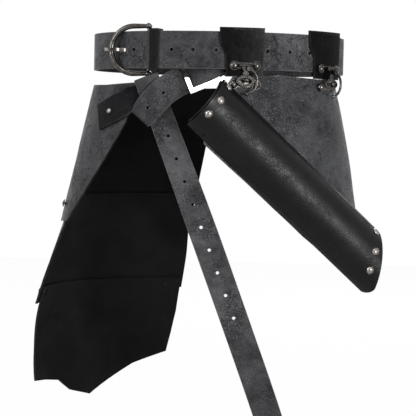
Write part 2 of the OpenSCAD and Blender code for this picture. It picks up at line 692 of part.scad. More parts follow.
// Turning stations of the knot's two folds: a is 0 at the back and 180 at the front
function turn_station(c, r, out, side, a, w) = [
    each c + out * r * sin(a) + [0, r * cos(a), 0], each side, w, strap_t];
function top_fold(a, w) = turn_station([-95.9, -104, -41.4], 4.8, [-0.39, 0, 0.92], [-0.92, 0, -0.39], a, w);
function low_fold(a, w) =
    turn_station([-100.3, -107.6, -88.5], 5.7, [-0.66, 0, -0.75], [-0.75, 0, 0.66], a, w);
slide_point = [-37, -117.6, -58];
long_path = [
    belt_station(15, 8.4, 30),
    belt_station(9, 0.6, 31),
    belt_station(5, -5.4, 31),
    [5, -110, -12.4, -0.4, 0.14, 0.9, 35, strap_t],
    [-3.3, -110.8, -17.3, -0.36, 0.42, 0.83, 36, strap_t],
    [-23, -107.2, -27.2, -0.36, 0.42, 0.83, 37, strap_t],
    [-42.2, -102.7, -37.6, -0.36, 0.42, 0.84, 37, strap_t],
    [-58, -110.2, -45.5, -0.46, 0.1, 0.88, strap_w, strap_t],
    [-74, -113.2, -57, -0.48, 0, 0.88, strap_w, strap_t],
    [-86, -113.8, -69.5, -0.45, 0, 0.9, strap_w, strap_t],
    [-94, -113.6, -79, -0.56, 0, 0.83, 37, strap_t],
    [-97.8, -113.4, -85, -0.7, 0, 0.71, 35, strap_t],
    low_fold(180, 34),
    low_fold(135, 31),
    low_fold(90, 29),
    low_fold(45, 27),
    low_fold(0, 25),
    [-94.5, -99.6, -81.5, -0.78, 0, 0.62, 20, 4],
    [-89.5, -97.4, -70, -1, 0, 0, 17, 5],
    [-90.5, -97.4, -57, -1, 0, -0.1, 18, 5],
    [-93, -98.8, -48.5, -0.92, 0, -0.39, 23, 4],
    top_fold(0, 28),
    top_fold(45, 31),
    top_fold(90, 33),
    top_fold(135, 34),
    top_fold(180, 34),
    [-93.8, -108.9, -46.3, -0.92, 0, -0.39, 34, strap_t],
    [-87.6, -108.9, -61, -0.92, 0, -0.39, 35, strap_t],
    [-78.4, -108.5, -84, -0.93, 0, -0.37, 33, strap_t],
    [-66.5, -109.2, -115.2, -0.93, 0, -0.37, 35, strap_t],
    [-19.7, -112, -235.9, -0.93, 0, -0.36, strap_w, strap_t],
    [27, -112, -359.7, -0.94, 0, -0.35, strap_w, strap_t],
    [66, -110, -465, -0.94, 0, -0.34, strap_w, strap_t],
    [83, -108.5, -514, -0.94, 0, -0.34, strap_w, strap_t]
];
hole_run = [29, 31];
module long_tie_strap() {
    first = place(long_path[hole_run[0]]);
    last = place(long_path[hole_run[1]]);
    color(leather) difference() {
        strap(long_path, 4);
        for (i = [0:8]) translate(first + (last - first) * i / 8) rotate([90, 0, 0])
            cylinder(r = strap_hole_r, h = 20, center = true);
        for (q = [[-73.9, -57.9], [-94.6, -78.2]]) translate([q[0], -110.4, q[1]]) rotate([90, 0, 0])
            cylinder(r = strap_hole_r, h = 12);
        tie_root_spots() radial(shank_r + shank_gap, -9, 3);
        tie_root_spots() radial(4.2, -strap_t - 2, -strap_t + 0.8);
    }
}
module long_strap_rivets() {
    color(gunmetal) tie_root_spots() {
        radial(4, belt_t - 1.2, belt_t);
        radial(shank_r, -strap_t + 0.6, belt_t - 1);
        radial(4, -strap_t - 0.3, -strap_t + 0.75);
    }
}
short_path = [
    panel_station(-59.5, -92, strap_w),
    panel_station(-54, -86, strap_w),
    panel_station(-48.5, -79, strap_w),
    panel_station(-43.5, -72.5, 36),
    [-115, -103.4, -63, -0.34, 0, 0.94, 30, strap_t],
    [-107, -104.4, -56.5, -0.28, 0, 0.96, 20, strap_t],
    [-97, -104.2, -53, -0.26, 0, 0.97, 18, strap_t],
    [-85, -103.2, -51, -0.24, 0, 0.95, 18, strap_t],
    [-72, -101.8, -50, -0.2, 0, 0.95, 18, strap_t]
];
module short_tie_strap() {
    color(leather) difference() {
        strap(short_path, 4);
        on_skin(left_skin, tab_spot[0], tab_spot[1]) translate([0, -6, 0]) shank_hole(12);
    }
}
module short_strap_rivet() {
    color(gunmetal) on_skin(left_skin, tab_spot[0], tab_spot[1]) translate([0, -strap_t - 1.2, 0])
        rivet(strap_t + panel_t + 1.5, 3.4, 1.8);
}
module slide_buckle() {
    color(bright_steel) translate(slide_point) rotate([-24.8, -23, 0]) rotate([90, 0, 0])
        translate([0, 0, -slide_t / 2]) linear_extrude(slide_t) difference() {
            square([slide_l, slide_h]);
            translate([slide_bar, slide_bar]) square([slide_l - 2 * slide_bar, slide_h - 2 * slide_bar]);
        }
}

waist_belt();
chape_rivets();
belt_keeper();
buckle_frame();
buckle_bar();
buckle_prong();
front_hanger();
side_hanger();
front_upper_plate();
front_hasp();
front_swing_arm();
front_lower_plate();
side_upper_plate();
side_hasp();
side_swing_arm();
side_lower_plate();
right_hip_panel();
left_hip_panel();
back_seam_rivets();
middle_lame();
middle_lame_rivets();
lower_lame();
lower_lame_rivets();
guard_shell();
guard_lining();
guard_top_rivets();
guard_bottom_rivets();
guard_corner_rivet();
short_tie_strap();
short_strap_rivet();
long_tie_strap();
long_strap_rivets();
slide_buckle();
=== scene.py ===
import bpy, bmesh, json, math
import numpy as np
from mathutils import Matrix, Vector, kdtree, noise


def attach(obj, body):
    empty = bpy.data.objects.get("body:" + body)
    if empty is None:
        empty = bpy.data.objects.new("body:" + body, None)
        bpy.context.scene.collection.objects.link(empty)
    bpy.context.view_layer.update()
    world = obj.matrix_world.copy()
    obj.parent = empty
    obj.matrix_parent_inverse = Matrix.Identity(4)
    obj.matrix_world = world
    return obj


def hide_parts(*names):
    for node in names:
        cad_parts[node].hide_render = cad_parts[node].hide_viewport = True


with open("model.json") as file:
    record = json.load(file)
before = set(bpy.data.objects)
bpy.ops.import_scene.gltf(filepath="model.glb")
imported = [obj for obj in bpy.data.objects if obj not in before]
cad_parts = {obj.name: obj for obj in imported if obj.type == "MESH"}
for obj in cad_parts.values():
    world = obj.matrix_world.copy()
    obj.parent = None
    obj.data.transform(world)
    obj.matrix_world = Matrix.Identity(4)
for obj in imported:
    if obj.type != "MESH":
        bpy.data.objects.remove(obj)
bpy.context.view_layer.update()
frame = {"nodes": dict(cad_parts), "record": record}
nodes = frame["nodes"]
bodyOf = {n: b for b, members in frame["record"]["behaviour"]["bodies"].items() for n in members}
scene = bpy.context.scene
print("frame loaded:", len(nodes), "nodes")


def newMaterial(name):
    mat = bpy.data.materials.new(name)
    mat.use_nodes = True
    tree = mat.node_tree
    tree.nodes.clear()
    out = tree.nodes.new("ShaderNodeOutputMaterial")
    skin = tree.nodes.new("ShaderNodeBsdfPrincipled")
    tree.links.new(skin.outputs[0], out.inputs[0])
    return mat, tree, skin


def addNode(tree, kind, inputs=None, **settings):
    made = tree.nodes.new(kind)
    for key, value in settings.items():
        setattr(made, key, value)
    for key, value in (inputs or {}).items():
        if isinstance(value, bpy.types.NodeSocket):
            tree.links.new(value, made.inputs[key])
        else:
            made.inputs[key].default_value = value
    return made


def mathNode(tree, kind, a, b=0.0, clamp=False):
    return addNode(tree, "ShaderNodeMath", {0: a, 1: b}, operation=kind, use_clamp=clamp).outputs[0]


def rampNode(tree, value, low, high, outLow=0.0, outHigh=1.0):
    made = addNode(tree, "ShaderNodeMapRange", {"Value": value, "From Min": low, "From Max": high,
                                                "To Min": outLow, "To Max": outHigh})
    made.interpolation_type = "SMOOTHSTEP"
    return made.outputs[0]


def mixColour(tree, share, a, b):
    made = addNode(tree, "ShaderNodeMix", data_type="RGBA")
    for index, value in ((0, share), (6, a), (7, b)):
        if isinstance(value, bpy.types.NodeSocket):
            tree.links.new(value, made.inputs[index])
        else:
            made.inputs[index].default_value = value if index == 0 else (*value, 1)
    return made.outputs[2]


def noiseNode(tree, where, scale, detail=3.0, rough=0.55, warp=0.0):
    return addNode(tree, "ShaderNodeTexNoise", {"Vector": where, "Scale": scale, "Detail": detail,
                                                "Roughness": rough, "Distortion": warp}).outputs[0]


def warpedPlace(tree, where, scale, amount):
    shift = addNode(tree, "ShaderNodeTexNoise", {"Vector": where, "Scale": scale, "Detail": 2.0}).outputs[1]
    centred = addNode(tree, "ShaderNodeVectorMath", {0: shift, 1: (0.5, 0.5, 0.5)}, operation="SUBTRACT").outputs[0]
    scaled = addNode(tree, "ShaderNodeVectorMath", {0: centred, "Scale": amount}, operation="SCALE").outputs[0]
    return addNode(tree, "ShaderNodeVectorMath", {0: where, 1: scaled}, operation="ADD").outputs[0]


def crackLines(tree, where, scale, width):
    cells = addNode(tree, "ShaderNodeTexVoronoi", {"Vector": where, "Scale": scale},
                    feature="DISTANCE_TO_EDGE").outputs[0]
    return rampNode(tree, cells, 0.0, width, 1.0, 0.0)


# leather, metal and thread finishes
grainLook = {
    "cloud": 13.0, "mottle": 70.0,            # noise cells per metre
    "creaseScale": 75.0, "creaseWidth": 0.05,
    "wrinkleScale": 230.0, "wrinkleWidth": 0.14,
    "vein": 21.0, "veinWidth": 0.011,
    "fold": (0.55, 0.55, 1.9),                # squeezes the folds so that they run across
    "pebbleScale": 1150.0, "pore": 2900.0,
    "wearAndHighlightWidth": 0.0011,                      # metres from the cut edge, over which the rim is lightened as rubbed wear and painted highlight
}


def grainLeather(name, dark, light, edge, specular, rough, wrinkle, crease, tooling=(), relief=0.6, tip=None):
    mat, tree, skin = newMaterial(name)
    where = addNode(tree, "ShaderNodeTexCoord").outputs["Object"]
    warped = warpedPlace(tree, where, 46.0, 0.022)
    cloud = rampNode(tree, noiseNode(tree, where, grainLook["cloud"], 4.0, 0.6, 0.6), 0.34, 0.66)
    mottle = rampNode(tree, noiseNode(tree, warped, grainLook["mottle"], 4.0, 0.65), 0.36, 0.68)
    patch = rampNode(tree, noiseNode(tree, where, 19.0, 3.0, 0.55), 0.45, 0.62)
    creases = crackLines(tree, warped, grainLook["creaseScale"], grainLook["creaseWidth"])
    creaseMask = rampNode(tree, noiseNode(tree, where, 22.0, 2.0, 0.5, 0.8), 0.5, 0.66)
    creases = mathNode(tree, "MULTIPLY", creases, creaseMask)
    wrinkles = crackLines(tree, warpedPlace(tree, where, 120.0, 0.006), grainLook["wrinkleScale"],
                          grainLook["wrinkleWidth"])
    wrinkles = mathNode(tree, "MULTIPLY", wrinkles, rampNode(tree, patch, 0.0, 1.0, 0.30, 1.0))
    veinNoise = noiseNode(tree, warped, grainLook["vein"], 3.0, 0.5, 1.1)
    ridge = mathNode(tree, "ABSOLUTE", mathNode(tree, "SUBTRACT", veinNoise, 0.5))
    veinMask = rampNode(tree, noiseNode(tree, where, 31.0, 2.0, 0.5), 0.45, 0.60)
    veins = mathNode(tree, "MULTIPLY", rampNode(tree, ridge, 0.0, grainLook["veinWidth"], 1.0, 0.0), veinMask)
    folded = addNode(tree, "ShaderNodeMapping", {"Vector": warpedPlace(tree, where, 60.0, 0.010),
                                                 "Scale": grainLook["fold"]})
    foldNoise = noiseNode(tree, folded.outputs[0], 100.0, 3.0, 0.6, 0.8)
    folds = mathNode(tree, "MULTIPLY", rampNode(tree, foldNoise, 0.50, 0.64),
                     rampNode(tree, patch, 0.0, 1.0, 0.25, 1.0))
    pebble = addNode(tree, "ShaderNodeTexVoronoi", {"Vector": warpedPlace(tree, where, 400.0, 0.0012),
                                                    "Scale": grainLook["pebbleScale"], "Smoothness": 0.7},
                     feature="SMOOTH_F1").outputs[0]
    pores = noiseNode(tree, where, grainLook["pore"], 2.0, 0.6)
    shade = mathNode(tree, "ADD", mathNode(tree, "MULTIPLY", cloud, 0.65), mathNode(tree, "MULTIPLY", mottle, 0.35))
    colour = mixColour(tree, shade, dark, light)
    lines = mathNode(tree, "ADD", mathNode(tree, "MULTIPLY", creases, 0.6 * crease),
                     mathNode(tree, "MULTIPLY", wrinkles, 0.70 * wrinkle), clamp=True)
    lines = mathNode(tree, "MAXIMUM", lines, mathNode(tree, "MULTIPLY", veins, 0.75 * crease))
    lines = mathNode(tree, "MAXIMUM", lines, mathNode(tree, "MULTIPLY", folds, 0.35 * wrinkle))
    # crease, wrinkle, vein and fold lines darken the colour: partly the grain's own dark lines, partly painted shade
    # in the creases
    colour = mixColour(tree, lines, colour, tuple(0.35 * c for c in dark))
    rim = addNode(tree, "ShaderNodeAttribute", attribute_name="rimDistance").outputs["Fac"]
    ragged = mathNode(tree, "ADD", rim, mathNode(tree, "MULTIPLY", pores, 0.0009))
    wear = rampNode(tree, ragged, grainLook["wearAndHighlightWidth"] * 0.6, grainLook["wearAndHighlightWidth"] * 1.9, 1.0, 0.0)
    wearAndHighlightMask = rampNode(tree, noiseNode(tree, where, 95.0, 3.0, 0.6), 0.38, 0.62, 0.35, 1.0)
    # the rim takes the lighter edge colour: partly rubbed wear, partly a painted highlight where light would catch
    # the cut edge
    colour = mixColour(tree, mathNode(tree, "MULTIPLY", wear, wearAndHighlightMask), colour, edge)
    if tip:                                   # painted shade: a strap's hanging end is painted darker than its top
        level = addNode(tree, "ShaderNodeSeparateXYZ", {0: where}).outputs[2]
        paintedShadeFade = rampNode(tree, level, tip[1], tip[0], 1 - tip[2], 0.0)
        colour = mixColour(tree, paintedShadeFade, colour, (0.006, 0.006, 0.007))
    groove = None
    for line in tooling:                      # pressed lines that follow the cut edge
        near = mathNode(tree, "ABSOLUTE", mathNode(tree, "SUBTRACT", rim, line))
        dent = rampNode(tree, near, 0.0, 0.0006, 1.0, 0.0)
        groove = dent if groove is None else mathNode(tree, "MAXIMUM", groove, dent)
    if groove is not None:
        colour = mixColour(tree, mathNode(tree, "MULTIPLY", groove, 0.8), colour, tuple(0.3 * c for c in dark))
    tree.links.new(colour, skin.inputs["Base Color"])
    gloss = mathNode(tree, "ADD", mathNode(tree, "MULTIPLY", mottle, 0.14), mathNode(tree, "MULTIPLY", lines, 0.25))
    tree.links.new(mathNode(tree, "ADD", gloss, rough - 0.07, clamp=True), skin.inputs["Roughness"])
    skin.inputs["Specular IOR Level"].default_value = specular
    height = mathNode(tree, "MULTIPLY", pebble, 0.08)
    height = mathNode(tree, "ADD", height, mathNode(tree, "MULTIPLY", pores, 0.05))
    height = mathNode(tree, "SUBTRACT", height, mathNode(tree, "MULTIPLY", wrinkles, 0.9 * wrinkle))
    height = mathNode(tree, "SUBTRACT", height, mathNode(tree, "MULTIPLY", creases, 1.3 * crease))
    height = mathNode(tree, "SUBTRACT", height, mathNode(tree, "MULTIPLY", veins, 1.2 * crease))
    height = mathNode(tree, "SUBTRACT", height, mathNode(tree, "MULTIPLY", folds, 1.3 * wrinkle))
    height = mathNode(tree, "ADD", height, mathNode(tree, "MULTIPLY", mottle, 1.2))
    if groove is not None:
        height = mathNode(tree, "SUBTRACT", height, mathNode(tree, "MULTIPLY", groove, 1.6))
    bump = addNode(tree, "ShaderNodeBump", {"Height": height, "Strength": relief, "Distance": 0.0009})
    tree.links.new(bump.outputs[0], skin.inputs["Normal"])
    return mat


def fleshLeather(name, dark, light):
    mat, tree, skin = newMaterial(name)
    where = addNode(tree, "ShaderNodeTexCoord").outputs["Object"]
    cloud = noiseNode(tree, where, 17.0, 4.0, 0.6, 0.4)
    fibre = addNode(tree, "ShaderNodeTexNoise", {"Vector": addNode(
        tree, "ShaderNodeMapping", {"Vector": where, "Scale": (1.0, 1.0, 0.16)}).outputs[0],
        "Scale": 900.0, "Detail": 3.0, "Roughness": 0.7}).outputs[0]
    nap = noiseNode(tree, where, 2400.0, 2.0, 0.7)
    shade = mathNode(tree, "ADD", mathNode(tree, "MULTIPLY", cloud, 0.7), mathNode(tree, "MULTIPLY", fibre, 0.3))
    tree.links.new(mixColour(tree, rampNode(tree, shade, 0.32, 0.68), dark, light), skin.inputs["Base Color"])
    skin.inputs["Roughness"].default_value = 0.88
    skin.inputs["Specular IOR Level"].default_value = 0.05
    height = mathNode(tree, "ADD", mathNode(tree, "MULTIPLY", fibre, 0.6), mathNode(tree, "MULTIPLY", nap, 0.5))
    bump = addNode(tree, "ShaderNodeBump", {"Height": height, "Strength": 0.5, "Distance": 0.0004})
    tree.links.new(bump.outputs[0], skin.inputs["Normal"])
    return mat


def cutEdge(name, dark, light):
    mat, tree, skin = newMaterial(name)
    where = addNode(tree, "ShaderNodeTexCoord").outputs["Object"]
    fibre = noiseNode(tree, where, 1300.0, 3.0, 0.65)
    worn = noiseNode(tree, where, 110.0, 3.0, 0.6)
    shade = rampNode(tree, mathNode(tree, "ADD", mathNode(tree, "MULTIPLY", worn, 0.7),
                                    mathNode(tree, "MULTIPLY", fibre, 0.3)), 0.38, 0.64)
    tree.links.new(mixColour(tree, shade, dark, light), skin.inputs["Base Color"])
    tree.links.new(rampNode(tree, fibre, 0.3, 0.7, 0.38, 0.6), skin.inputs["Roughness"])
    skin.inputs["Specular IOR Level"].default_value = 0.12
    bump = addNode(tree, "ShaderNodeBump", {"Height": fibre, "Strength": 0.4, "Distance": 0.0003})
    tree.links.new(bump.outputs[0], skin.inputs["Normal"])
    return mat


def metalFinish(name, dark, light, roughLow, roughHigh, dents=0.25):
    mat, tree, skin = newMaterial(name)
    where = addNode(tree, "ShaderNodeTexCoord").outputs["Object"]
    tarnish = noiseNode(tree, where, 150.0, 4.0, 0.65, 0.5)
    speck = noiseNode(tree, where, 1500.0, 3.0, 0.6)
    brushed = addNode(tree, "ShaderNodeMapping", {"Vector": where, "Rotation": (0.4, 0.9, 0.3),
                                                  "Scale": (1.0, 0.05, 1.0)}).outputs[0]
    scratch = addNode(tree, "ShaderNodeTexNoise", {"Vector": brushed, "Scale": 3200.0, "Detail": 2.0}).outputs[0]
    shade = rampNode(tree, mathNode(tree, "ADD", mathNode(tree, "MULTIPLY", tarnish, 0.75),
                                    mathNode(tree, "MULTIPLY", speck, 0.25)), 0.40, 0.60)
    tree.links.new(mixColour(tree, shade, dark, light), skin.inputs["Base Color"])
    skin.inputs["Metallic"].default_value = 1.0
    wear = mathNode(tree, "ADD", mathNode(tree, "MULTIPLY", tarnish, 0.6), mathNode(tree, "MULTIPLY", scratch, 0.4))
    tree.links.new(rampNode(tree, wear, 0.35, 0.65, roughLow, roughHigh), skin.inputs["Roughness"])
    height = mathNode(tree, "ADD", mathNode(tree, "MULTIPLY", tarnish, 0.8),
                      mathNode(tree, "MULTIPLY", scratch, 0.25))
    bump = addNode(tree, "ShaderNodeBump", {"Height": height, "Strength": dents, "Distance": 0.0005})
    tree.links.new(bump.outputs[0], skin.inputs["Normal"])
    return mat


def threadFinish(name, colour):
    mat, tree, skin = newMaterial(name)
    where = addNode(tree, "ShaderNodeTexCoord").outputs["Object"]
    ply = addNode(tree, "ShaderNodeTexWave", {"Vector": where, "Scale": 620.0, "Distortion": 1.2,
                                              "Detail": 2.0}).outputs[1]
    tree.links.new(mixColour(tree, ply, tuple(0.5 * c for c in colour), colour), skin.inputs["Base Color"])
    skin.inputs["Roughness"].default_value = 0.6
    skin.inputs["Specular IOR Level"].default_value = 0.08
    bump = addNode(tree, "ShaderNodeBump", {"Height": ply, "Strength": 0.5, "Distance": 0.0002})
    tree.links.new(bump.outputs[0], skin.inputs["Normal"])
    return mat


# colours of the low and high grain and of the rim, whose lighter colour is rubbed wear and also a painted highlight
# along the cut edge; a strap's tip setting paints shade, darkening it between two heights by a share
leathers = {
    "belt": {"dark": (0.016, 0.016, 0.018), "light": (0.070, 0.071, 0.076), "edge": (0.070, 0.069, 0.067),
             "specular": 0.11, "rough": 0.38, "wrinkle": 0.9, "crease": 1.1},
    "panel": {"dark": (0.013, 0.013, 0.015), "light": (0.058, 0.059, 0.064), "edge": (0.058, 0.057, 0.056),
              "specular": 0.12, "rough": 0.38, "wrinkle": 0.75, "crease": 1.3},
    "strap": {"dark": (0.022, 0.022, 0.024), "light": (0.080, 0.081, 0.085), "edge": (0.068, 0.067, 0.066),
              "specular": 0.10, "rough": 0.42, "wrinkle": 1.2, "crease": 0.45, "tip": (-0.28, -0.50, 0.70)},
    "tab": {"dark": (0.002, 0.002, 0.003), "light": (0.007, 0.007, 0.008), "edge": (0.024, 0.0235, 0.023),
            "specular": 0.06, "rough": 0.38, "wrinkle": 0.4, "crease": 0.3, "relief": 0.4,
            "tooling": (0.0042, 0.0074)},
    "hanger": {"dark": (0.001, 0.001, 0.0012), "light": (0.0035, 0.0035, 0.004), "edge": (0.014, 0.0135, 0.013),
               "specular": 0.05, "rough": 0.36, "wrinkle": 0.1, "crease": 0.15, "relief": 0.16},
    "guard": {"dark": (0.0012, 0.0012, 0.0014), "light": (0.0035, 0.0035, 0.004), "edge": (0.007, 0.007, 0.007),
              "specular": 0.16, "rough": 0.39, "wrinkle": 1.1, "crease": 0.8, "relief": 0.11},
}
grain = {name: grainLeather(name + "Grain", **look) for name, look in leathers.items()}
innerSkin = fleshLeather("innerFace", (0.0045, 0.0045, 0.0047), (0.0085, 0.0085, 0.0088))
edgeSkin = cutEdge("cutEdge", (0.003, 0.003, 0.003), (0.013, 0.0125, 0.012))
gunmetal = metalFinish("gunmetal", (0.045, 0.042, 0.039), (0.085, 0.079, 0.074), 0.17, 0.27, 0.02)
brightNickel = metalFinish("brightNickel", (0.86, 0.85, 0.83), (0.95, 0.94, 0.92), 0.10, 0.22, 0.05)
paleRivet = metalFinish("paleRivet", (0.22, 0.205, 0.19), (0.32, 0.30, 0.28), 0.24, 0.36, 0.02)
blackThread = threadFinish("blackThread", (0.004, 0.004, 0.005))
# near-black metal that paints shade: rivet tails inside the skirt and the guard's corner rivet
paintedShadeBlack = metalFinish("paintedShadeBlack", (0.006, 0.006, 0.006), (0.014, 0.014, 0.014), 0.5, 0.7, 0.10)
print("materials made")


# from a CAD node to a finished mesh
sharpAngle = math.radians(33)
sliverHeight = 0.00003                        # metres
sliverRounds = 6
sheetLook = 0.5                               # least turn towards a side to count as that side
rollReach = 0.0003                            # metres from a roll's true radius
foldAngle = math.radians(62)                  # a strap's folds stay soft, its cut edges sharp


def mergedMesh(nodeName):
    bm = bmesh.new()
    bm.from_mesh(nodes[nodeName].data)
    bmesh.ops.remove_doubles(bm, verts=bm.verts[:], dist=8e-6)
    bmesh.ops.dissolve_degenerate(bm, dist=1e-6, edges=bm.edges[:])
    bmesh.ops.triangulate(bm, faces=[f for f in bm.faces if len(f.verts) > 3])
    return bm


def refine(bm, longest, passes):
    for _ in range(passes):
        tooLong = [e for e in bm.edges if e.calc_length() > longest]
        if not tooLong:
            break
        bmesh.ops.subdivide_edges(bm, edges=tooLong, cuts=1)
        bmesh.ops.triangulate(bm, faces=[f for f in bm.faces if len(f.verts) > 3])


def isSliver(f):
    longest = max(e.calc_length() for e in f.edges)
    return 2 * f.calc_area() < sliverHeight * longest


def markSharp(bm, angle=sharpAngle):
    for e in bm.edges:
        e.smooth = not (len(e.link_faces) == 2 and e.calc_face_angle(0) > angle)
    for f in bm.faces:
        f.smooth = True


def markRoll(bm, away, radii):                # sorts a rolled sheet's faces by the radius they lie on
    side = {}
    for f in bm.faces:
        f.smooth = True
        reach = [away(v.co).length for v in f.verts]
        on = [all(abs(d - radius) < rollReach for d in reach) for radius in radii]
        side[f] = 0 if on[0] else (1 if on[1] else 2)
    for e in bm.edges:
        e.smooth = len({side[f] for f in e.link_faces}) == 1
    return side


def markSheet(bm, away):                      # sorts a sheet's faces by the way they look: out, in or along
    side = {}
    slivers = [f for f in bm.faces if isSliver(f)]
    thin = set(slivers)
    for f in bm.faces:
        f.smooth = True
        if f not in thin:
            look = f.normal.dot(away(f.calc_center_median()).normalized())
            side[f] = 0 if look > sheetLook else (1 if look < -sheetLook else 2)
    for _ in range(sliverRounds):             # a sliver takes its neighbour's side
        left = []
        for f in slivers:
            for e in sorted(f.edges, key=lambda e: -e.calc_length()):
                known = [side[g] for g in e.link_faces if g is not f and g in side]
                if known:
                    side[f] = known[0]
                    break
            else:
                left.append(f)
        slivers = left
    for e in bm.edges:
        kinds = [side.get(f, 2) for f in e.link_faces]
        turned = len(kinds) == 2 and kinds[0] == kinds[1] == 2 and e.calc_face_angle(0) > sharpAngle
        doubtful = any(f in thin for f in e.link_faces)
        e.smooth = len(kinds) == 2 and kinds[0] == kinds[1] and (doubtful or not turned)
    return side


def relax(bm, rounds):                        # rounds the flats between facets, keeps the cut edges
    bm.verts.ensure_lookup_table()
    place = np.array([v.co for v in bm.verts])
    pairs = np.array([[e.verts[0].index, e.verts[1].index] for e in bm.edges])
    free = np.ones(len(place), bool)
    for e in bm.edges:
        if not e.smooth:
            free[e.verts[0].index] = free[e.verts[1].index] = False
    count = np.bincount(pairs.ravel(), minlength=len(place)).astype(float)[:, None]
    for _ in range(rounds):
        total = np.zeros_like(place)
        np.add.at(total, pairs[:, 0], place[pairs[:, 1]])
        np.add.at(total, pairs[:, 1], place[pairs[:, 0]])
        place[free] = (0.45 * place + 0.55 * total / np.maximum(count, 1))[free]
    for v, p in zip(bm.verts, place):
        v.co = p


def sidesOf(bm):
    bm.faces.ensure_lookup_table()
    side = [-1] * len(bm.faces)
    areas = []
    for start in bm.faces:
        if side[start.index] >= 0:
            continue
        group = len(areas)
        stack, area = [start], 0.0
        side[start.index] = group
        while stack:
            f = stack.pop()
            area += f.calc_area()
            for e in f.edges:
                if e.smooth:
                    for g in e.link_faces:
                        if side[g.index] < 0:
                            side[g.index] = group
                            stack.append(g)
        areas.append(area)
    return side, areas


def fromWaist(p):
    return Vector((p.x, p.y, 0))


def dressLeather(nodeName, face, flesh=None, longest=0.004, passes=8, rounds=10, wave=0.0, waveLength=0.05,
                 broad=0.12, outward=None, radii=(), shadedTopEdges=False, angle=sharpAngle):
    bm = mergedMesh(nodeName)
    refine(bm, longest, passes)
    away = outward or fromWaist
    for v in bm.verts if radii else ():       # a roll's new points go out to its true round
        reach = away(v.co)
        for radius in radii:
            if abs(reach.length - radius) < rollReach:
                v.co += reach * (radius / reach.length - 1)
    bm.normal_update()
    if radii:
        look = markRoll(bm, away, radii)
    elif flesh:
        look = markSheet(bm, away)
    else:
        markSharp(bm, angle)
    if rounds:
        relax(bm, rounds)
    bm.normal_update()
    if flesh:
        for f in bm.faces:
            f.material_index = look.get(f, 2)
    else:
        side, areas = sidesOf(bm)
        biggest = max(areas)
        for f in bm.faces:
            f.material_index = 0 if areas[side[f.index]] > broad * biggest else 2
    # painted shade: the lames' upward cut edges take the dark inner face so that they sink into the shade inside the
    # skirt
    for f in bm.faces if shadedTopEdges else ():
        if f.material_index == 2 and f.normal.z > 0.3:
            f.material_index = 1
    edges = [e for e in bm.edges if not e.smooth]
    rimPoints = [p for e in edges for p in (e.verts[0].co, (e.verts[0].co + e.verts[1].co) / 2)]
    nearest = kdtree.KDTree(len(rimPoints) + 1)
    for slot, p in enumerate(rimPoints + [Vector((9, 9, 9))]):
        nearest.insert(p, slot)
    nearest.balance()
    rim = bm.verts.layers.float.new("rimDistance")
    for v in bm.verts:
        v[rim] = nearest.find(v.co)[2]
    if wave:
        for v in bm.verts:
            push = away(v.co)
            push.normalize()
            lift = noise.noise(v.co / waveLength + Vector((3.1, 7.7, 1.3)))
            lift += 0.45 * noise.noise(v.co / (waveLength * 0.42) + Vector((9.4, 2.2, 5.8)))
            v.co += push * lift * wave
    normals = []
    for f in bm.faces if radii else ():       # a roll is shaded as the true round it follows
        for v in f.verts:
            out = away(v.co).normalized()
            normals.append(tuple((out, -out, f.normal)[f.material_index]))
    mesh = bpy.data.meshes.new(nodeName + "Mesh")
    bm.to_mesh(mesh)
    bm.free()
    if normals:
        mesh.normals_split_custom_set(normals)
    for m in (face, flesh or face, edgeSkin):
        mesh.materials.append(m)
    piece = bpy.data.objects.new(nodeName + "_skin", mesh)
    scene.collection.objects.link(piece)
    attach(piece, bodyOf[nodeName])
    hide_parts(nodeName)
    print("leather:", nodeName, len(mesh.polygons))


def dressMetal(nodeName, finish, inside=None):
    bm = mergedMesh(nodeName)
    bm.normal_update()
    markSharp(bm)
    # faces turned towards the waist sit inside the skirt and take the second finish, painted shade
    for f in bm.faces if inside else ():
        mid = f.calc_center_median()
        f.material_index = 1 if f.normal.dot(fromWaist(mid).normalized()) < -0.1 else 0
    mesh = bpy.data.meshes.new(nodeName + "Mesh")
    bm.to_mesh(mesh)
    bm.free()
    for m in (finish, inside) if inside else (finish,):
        mesh.materials.append(m)
    piece = bpy.data.objects.new(nodeName + "_metal", mesh)
    scene.collection.objects.link(piece)
    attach(piece, bodyOf[nodeName])
    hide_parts(nodeName)


# the rolled guard lies on its own round: a spine, a run and an outward side
guardPlace = {"point": (-18.6, -146.6, -67.8), "turn": 16.699, "tilt": 41.5,      # mm and degrees, as in the source
              "half": 39.0, "rise": 25.0, "length": 330.0, "shell": 3.0, "gap": 0.2, "lining": 1.8}
guardRadius = (guardPlace["half"] ** 2 + guardPlace["rise"] ** 2) / (2 * guardPlace["rise"])
guardFrame = (Matrix.Translation(Vector(guardPlace["point"]) * 0.001)
              @ Matrix.Rotation(math.radians(guardPlace["turn"]), 4, "Z")
              @ Matrix.Rotation(math.radians(guardPlace["tilt"]), 4, "Y"))
guardSpine = guardFrame @ Vector((0, (guardRadius - guardPlace["rise"]) * 0.001, 0))
guardRun = guardFrame.to_3x3() @ Vector((1, 0, 0))


def fromSpine(p):
    d = p - guardSpine
    return d - guardRun * d.dot(guardRun)


